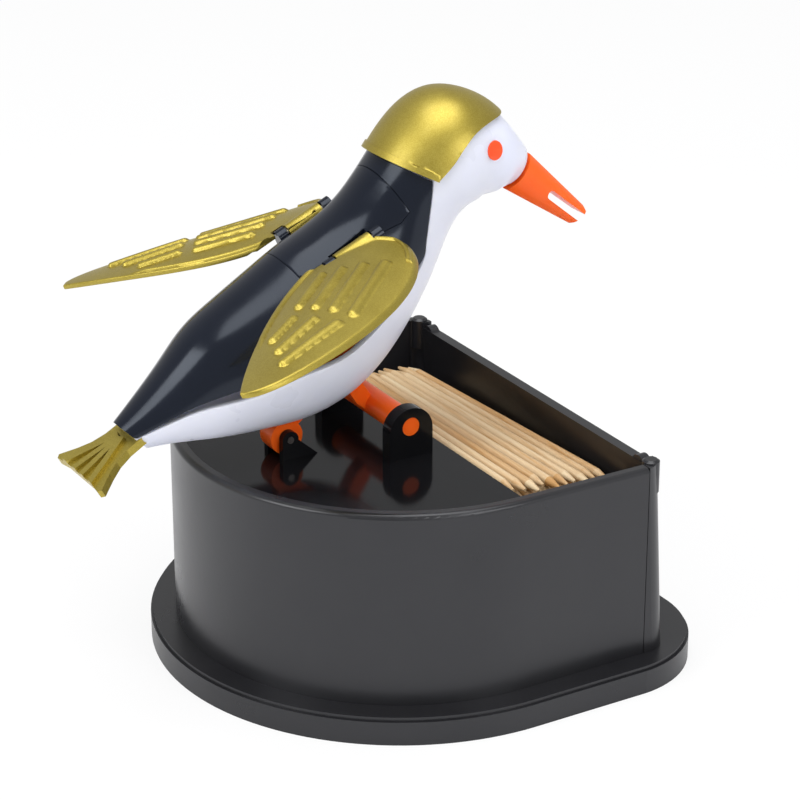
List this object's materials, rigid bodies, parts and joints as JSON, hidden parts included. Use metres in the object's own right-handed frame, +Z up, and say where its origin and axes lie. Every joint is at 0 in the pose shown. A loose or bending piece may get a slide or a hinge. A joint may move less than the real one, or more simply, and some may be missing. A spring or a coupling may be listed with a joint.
{
  "type": "toothpick dispenser",
  "caption": "Tabletop toothpick box whose bird bows when its head is pressed, dips its slotted beak into the open slot and raises its wings.",
  "frame": {"origin": "On the table plane, under the centre of the box's round end", "axes": "+Z up, +Y the way the bird looks, +X along the toothpicks to the bird's right side"},
  "size_m": [0.0996, 0.114, 0.1104],
  "materials": {
    "black_plastic": "gloss",
    "white_plastic": "satin, slightly translucent",
    "gold_plastic": "metallic gold plastic",
    "orange_plastic": "gloss",
    "toothpick_wood": "bare birch or bamboo",
    "steel_pin": "drawn wire"
  },
  "bodies": {
    "stand": {"base_plate": "black_plastic", "box_shell": "black_plastic", "front_panel": "black_plastic", "lid": "black_plastic", "pick_tray": "black_plastic", "toothpicks": "toothpick_wood", "perch_frame": "orange_plastic", "lifter_pin": "steel_pin", "anchor_pin": "steel_pin", "base_screws": "steel_pin"},
    "bird": {"back_shell": "black_plastic", "shoulder_cover": "black_plastic", "tail_fan": "gold_plastic", "belly_shell": "white_plastic", "crown_cap": "gold_plastic", "beak": "orange_plastic", "eyes": "orange_plastic", "pivot_pin": "steel_pin", "right_wing_pin": "steel_pin", "left_wing_pin": "steel_pin"},
    "right_wing": {"right_wing": "gold_plastic"},
    "left_wing": {"left_wing": "gold_plastic"}
  },
  "joints": [
    {"name": "bow", "type": "hinge", "parent": "stand", "child": "bird", "pos_m": [0, -0.006, 0.08], "axis": [-1, 0, 0], "range_deg": [0, 53]},
    {"name": "right_wing_lift", "type": "hinge", "parent": "bird", "child": "right_wing", "pos_m": [0.0095, -0.0232, 0.0813], "axis": [0, -0.9092, -0.4163], "range_deg": [0, 45]},
    {"name": "left_wing_lift", "type": "hinge", "parent": "bird", "child": "left_wing", "pos_m": [-0.0095, -0.0232, 0.0813], "axis": [0, 0.9092, 0.4163], "range_deg": [0, 45]}
  ],
  "couplings": [
    {"joint": "right_wing_lift", "follows": "bow", "ratio": 0.849},
    {"joint": "left_wing_lift", "follows": "bow", "ratio": 0.849}
  ]
}
